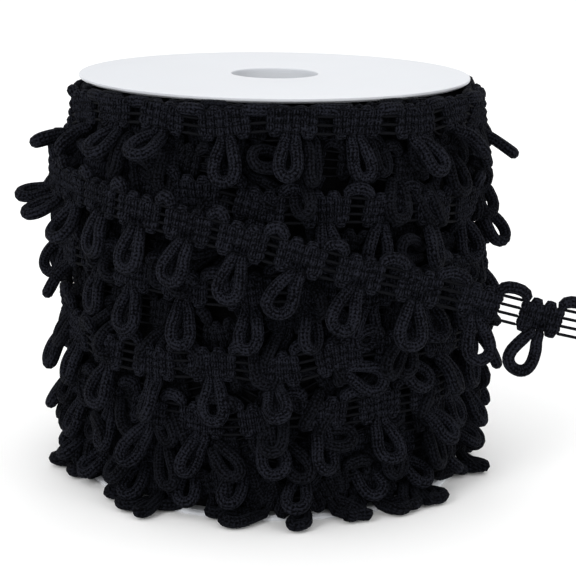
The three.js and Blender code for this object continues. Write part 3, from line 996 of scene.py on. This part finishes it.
def add_spool():
    plastic = plastic_material("spool_plastic", (0.545, 0.56, 0.59), (0.57, 0.585, 0.615))
    # Painted shade: the tube's plastic is coloured darker than the flanges' so the wall inside the spindle
    # hole reads shaded
    tube_plastic_shaded = plastic_material("tube_plastic_shaded", (0.49, 0.505, 0.53), (0.515, 0.53, 0.555))
    flange("spool_bottom_flange", 0.0, 1, plastic)
    flange("spool_top_flange", SPOOL_HEIGHT, -1, plastic)
    low, high = FLANGE - SEAM, SPOOL_HEIGHT - FLANGE + SEAM
    outline = [(BORE, low, SEAM), (CORE_RADIUS, low, SEAM), (CORE_RADIUS, high, SEAM), (BORE, high, SEAM)]
    tube = lathe("spool_core_tube", rounded(outline, 2), tube_plastic_shaded, "spool_plastic")
    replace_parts(tube, "spool_core")


# The tape
def add_core(material):
    """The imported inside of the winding: a lumpy ring behind the turns that show."""
    slices, rows = 180, 96
    off_flange, off_tube = 0.2, 0.3
    least, most, at_flanges = 48.4, 49.4, 47.0  # radii
    furrow, ridge, ridge_width = 47.6, 1.2, 5.0  # a ridge behind each turn of the second layer
    lump = 0.5
    low, high = FLANGE + off_flange, SPOOL_HEIGHT - FLANGE - off_flange
    deg = 360 * np.arange(slices) / slices - 180
    z = np.linspace(low, high, rows)
    t, height = np.meshgrid(deg, z, indexing="ij")
    radius = np.full(t.shape, least)
    for turn in range(len(TURN_NAMES)):
        near = np.exp(-(((height - beneath.height(t + 360 * turn)) / ridge_width) ** 2))
        radius = np.maximum(radius, furrow + ridge * near)
    lumps = np.sin(t * 0.37 + height * 1.9) * np.sin(t * 0.21 - height * 1.1)
    radius = np.minimum(radius + lump * lumps, most)
    radius[:, [0, -1]] = at_flanges
    outer = around(t, radius, height)
    inner_low = around(deg, CORE_RADIUS + off_tube, np.full(slices, low))
    inner_high = around(deg, CORE_RADIUS + off_tube, np.full(slices, high))
    points = np.concatenate([outer, inner_high[:, None], inner_low[:, None]], 1)
    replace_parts(ring("packed_core", points, material, "yarn"), "wound_roll")


def add_tape():
    cord = cord_material("black_cord", (0.0004, 0.0004, 0.0007), (0.0112, 0.0121, 0.0172))
    # Painted shade: a darker copy of the cord for the second layer, which lies in the shade of the outer
    # turns
    deep = cord_material("black_cord_shaded", (0.0003, 0.0003, 0.0005), (0.0068, 0.0074, 0.0104))
    thread = thread_material()
    fine = cord_pattern(per_tier=4, turn_steps=4, loop_steps=2, arch_steps=8)
    coarse = cord_pattern(per_tier=3, turn_steps=3, loop_steps=1, arch_steps=6)

    for coil, turns in ((last_turn, np.arange(1)), (winding, np.arange(1, len(TURN_NAMES)))):
        blocks = coil_blocks(coil, turns)
        loops = outer_loops(coil, blocks)
        for turn in turns:
            chosen = blocks["turn"] == turn
            tubes = Tubes()
            add_cord(tubes, coil.route, part_of(blocks, chosen), part_of(loops, chosen), fine, sides=9)
            add_threads(tubes, coil.route, part_of(blocks, chosen), sides=5)
            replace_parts(tubes.piece(f"tape_{TURN_NAMES[turn]}", [cord, thread]), TURN_NAMES[turn])

    inner = even_blocks(np.arange(beneath.first - UNDER_TOP * STEP_DEG, beneath.last, STEP_DEG))
    inner["index"] = inner["index"] - UNDER_TOP
    hanging = inner_loops(inner)
    for part, chosen in enumerate(np.array_split(np.arange(len(inner["middle"])), 3)):
        tubes = Tubes()
        add_cord(tubes, beneath.route, part_of(inner, chosen), part_of(hanging, chosen), coarse, sides=7)
        add_threads(tubes, beneath.route, part_of(inner, chosen), sides=3)
        tubes.piece(f"tape_beneath_{part + 1}", [deep, thread])
    tubes = Tubes()
    add_packed_loops(tubes, coarse, every=12.5, sides=8)
    tubes.piece("packed_loops", [deep])
    add_core(core_material())
    add_loose_end(cord, thread, fine)


def add_loose_end(cord, thread, pattern):
    """The loose end is a flat cord, with its button loops as pieces on it."""
    blocks = loose_blocks()
    loops = loose_loops(blocks)
    points, normals = lay(loose_route, blocks, loops, pattern)
    in_loop = np.flatnonzero(pattern["loop"])
    before = np.arange(0, in_loop[0] + 1)
    after = np.arange(in_loop[-1], len(pattern["a"]))
    over_loop = np.arange(in_loop[0] - 4, in_loop[-1] + 5)
    tubes = Tubes()
    radius = pattern["radius"]
    tubes.add(points[0][before], normals[0][before], radius[before], LOOSE_SIDES)
    for k in range(len(points) - 1):
        run = np.concatenate([points[k][after], points[k + 1][before]])
        facing = np.concatenate([normals[k][after], normals[k + 1][before]])
        tubes.add(run, facing, np.concatenate([radius[after], radius[before]]), LOOSE_SIDES)
    last, end = points[-1][after], cut_end(pattern)
    tail, tail_facing = lay(loose_route, part_of(blocks, [-1]), part_of(loops, [-1]), end)
    run = np.concatenate([last, tail[0]])
    facing = np.concatenate([normals[-1][after], tail_facing[0]])
    tubes.add(run, facing, np.concatenate([radius[after], end["radius"]]), LOOSE_SIDES)
    add_threads(tubes, loose_route, blocks, sides=6)
    add_thread_ends(tubes, blocks)
    strip = tubes.piece("loose_end_band", [cord, thread])
    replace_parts(strip, "loose_tape_end")
    for k in range(len(points)):
        tubes = Tubes()
        tubes.add(points[k][over_loop], normals[k][over_loop], radius[over_loop], LOOSE_SIDES)
        tubes.piece(f"loose_end_loop_{k + 1:02d}", [cord])
    start, end = blocks["knots"][0, 0], blocks["knots"][-1, 3] + LOOSE_CUT


def cut_end(pattern):
    """The cord past the last arch: down and up once more, where the tape is cut."""
    steps = 5
    down = LINE_HALF - TIER * np.arange((STITCH_LINES - 1) * steps + 1) / steps
    first = PITCH - (PASSES - 1) * PASS / 2
    turn = half_turn(first + PASS / 2, -LINE_HALF, TURN_RISE, -1, steps)
    a = np.concatenate([np.full(len(down), first), turn[:, 0], np.full(len(down), first + PASS)])
    v = np.concatenate([down, turn[:, 1], down[::-1]])
    drawn, out = stitched(v, np.abs(v) <= LINE_HALF + 0.01)
    return {
        "a": a,
        "v": v,
        "w": out,
        "radius": CORD / 2 * (1 - drawn),
        "loop": np.zeros(len(a), bool),
    }


def add_thread_ends(tubes, blocks):
    """The stitch threads run on across the last gap and over the cut block."""
    last = part_of(blocks, [-1])
    reach = PITCH - BLOCK_HALF + 2 * PASS + 0.6
    a = np.linspace(BLOCK_HALF - 0.2, reach, 14)
    over = smooth_step((a - (PITCH - BLOCK_HALF)) / 0.8)
    for line in range(STITCH_LINES):
        pattern = {
            "a": a,
            "v": np.full(len(a), LINE_HALF - line * TIER),
            "w": CREST * (0.35 + 0.65 * over),
            "radius": np.full(len(a), THREAD / 2),
            "loop": np.zeros(len(a), bool),
        }
        points, normals = lay(loose_route, last, None, pattern)
        tubes.add(points[0], normals[0], pattern["radius"], 6, slot=1)


# Camera, light and floor
def add_camera():
    """The photograph's view: the axis stands a little left of the middle."""
    distance, height, pitch, roll = 0.4549, 0.1571, 0.2393, 0.0125
    data = bpy.data.cameras.new("view")
    data.lens = 110.65
    data.sensor_width = 36
    data.shift_x = 0.0278
    data.clip_end = 30
    camera = bpy.data.objects.new("view", data)
    turned = Matrix.Rotation(math.pi / 2 - pitch, 4, "X") @ Matrix.Rotation(roll, 4, "Z")
    camera.matrix_world = Matrix.Translation((0, -distance, height)) @ turned
    bpy.context.scene.collection.objects.link(camera)
    bpy.context.scene.camera = camera


def add_light(name, place_at, size, power, aim=(0, 0, 0.05)):
    data = bpy.data.lights.new(name, "AREA")
    data.shape = "DISK"
    data.size = size
    data.energy = power
    lamp = bpy.data.objects.new(name, data)
    back = np.array(place_at) - np.array(aim)
    yaw = math.atan2(back[0], -back[1])
    tilt = math.atan2(math.hypot(back[0], back[1]), back[2])
    turned = Matrix.Rotation(yaw, 4, "Z") @ Matrix.Rotation(tilt, 4, "X")
    lamp.matrix_world = Matrix.Translation(place_at) @ turned
    bpy.context.scene.collection.objects.link(lamp)


def add_stage():
    size = 8.0
    mesh = bpy.data.meshes.new("floor")
    corners = [(-size, -size, 0), (size, -size, 0), (size, size, 0), (-size, size, 0)]
    mesh.from_pydata(corners, [], [(0, 1, 2, 3)])
    mesh.materials.append(floor_material())
    floor = bpy.data.objects.new("floor", mesh)
    bpy.context.scene.collection.objects.link(floor)
    world = bpy.data.worlds.new("studio")
    world.use_nodes = True
    world.node_tree.nodes["Background"].inputs["Color"].default_value = (1, 1, 1, 1)
    world.node_tree.nodes["Background"].inputs["Strength"].default_value = 1.1
    bpy.context.scene.world = world
    add_light("key", (-0.6, -0.85, 0.6), 0.4, 5)
    add_light("fill", (0.8, -0.8, 0.35), 0.6, 2)
    add_light("back", (0.1, 0.8, 0.6), 0.6, 1)
    bpy.context.scene.view_settings.view_transform = "Standard"


add_camera()
add_stage()
add_tape()
add_spool()
